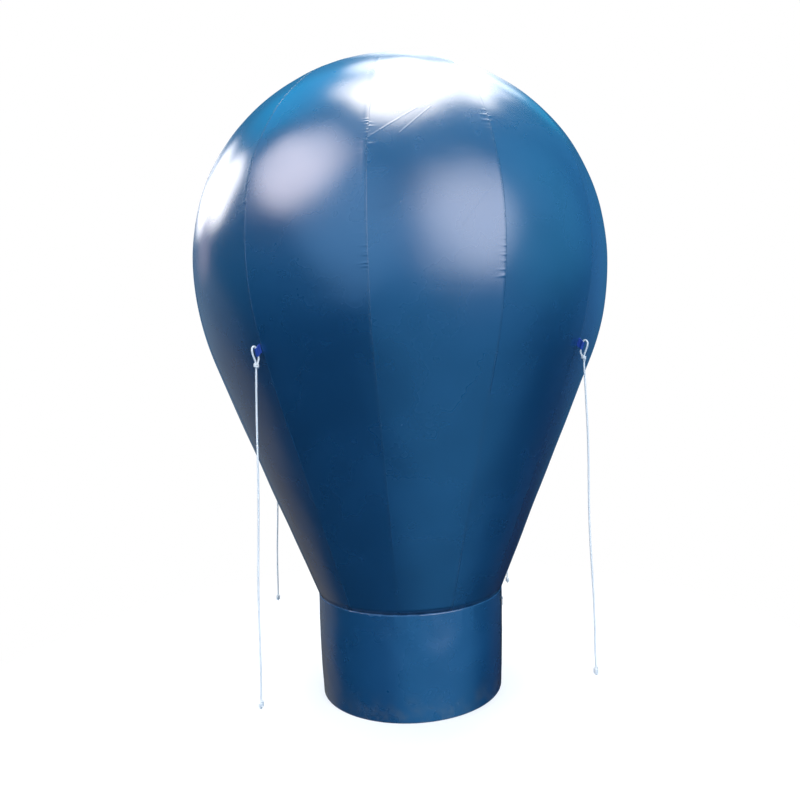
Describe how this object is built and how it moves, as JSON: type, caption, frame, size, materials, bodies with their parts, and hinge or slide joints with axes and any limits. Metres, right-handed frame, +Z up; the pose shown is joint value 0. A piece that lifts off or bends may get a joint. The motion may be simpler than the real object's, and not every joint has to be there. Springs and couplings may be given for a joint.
{
  "type": "bulb-shaped advertising balloon",
  "caption": "Tall inflated fabric bulb with a round dome and a straight cone, standing on a short round base, with webbing loops and hanging white ropes.",
  "frame": {"origin": "centre of the base's foot, on the floor", "axes": "+Z up along the balloon's middle line, -Y towards the picture's camera, +X to the camera's right"},
  "size_m": [2.12, 2.12, 3.2],
  "materials": {
    "blue_fabric": "coated polyester cloth, taut and half glossy, mid blue",
    "floor_fabric": "coated polyester cloth, mid blue, scuffed",
    "blue_webbing": "woven royal blue webbing",
    "white_rope": "white braided rope",
    "black_zip": "black coil zip on woven tape",
    "zip_metal": "black painted zip slider",
    "black_mesh": "black open mesh cloth",
    "blower_plastic": "dark grey moulded plastic"
  },
  "bodies": {
    "root": {"gore_01": "blue_fabric", "gore_02": "blue_fabric", "gore_03": "blue_fabric", "gore_04": "blue_fabric", "gore_05": "blue_fabric", "gore_06": "blue_fabric", "gore_07": "blue_fabric", "gore_08": "blue_fabric", "gore_09": "blue_fabric", "gore_10": "blue_fabric", "gore_11": "blue_fabric", "gore_12": "blue_fabric", "crown_patch": "blue_fabric", "base_wall": "blue_fabric", "base_floor": "floor_fabric", "zip_chain": "black_zip", "zip_slider": "zip_metal", "intake_window": "black_mesh", "blower": "blower_plastic", "webbing_loop_1": "blue_webbing", "webbing_loop_2": "blue_webbing", "webbing_loop_3": "blue_webbing", "webbing_loop_4": "blue_webbing", "rope_bight_1": "white_rope", "rope_bight_2": "white_rope", "rope_bight_3": "white_rope", "rope_bight_4": "white_rope", "rope_knot_1": "white_rope", "rope_knot_2": "white_rope", "rope_knot_3": "white_rope", "rope_knot_4": "white_rope", "rope_1": "white_rope", "rope_2": "white_rope", "rope_3": "white_rope", "rope_4": "white_rope", "rope_end_knot_1": "white_rope", "rope_end_knot_2": "white_rope", "rope_end_knot_3": "white_rope", "rope_end_knot_4": "white_rope"}
  },
  "joints": []
}
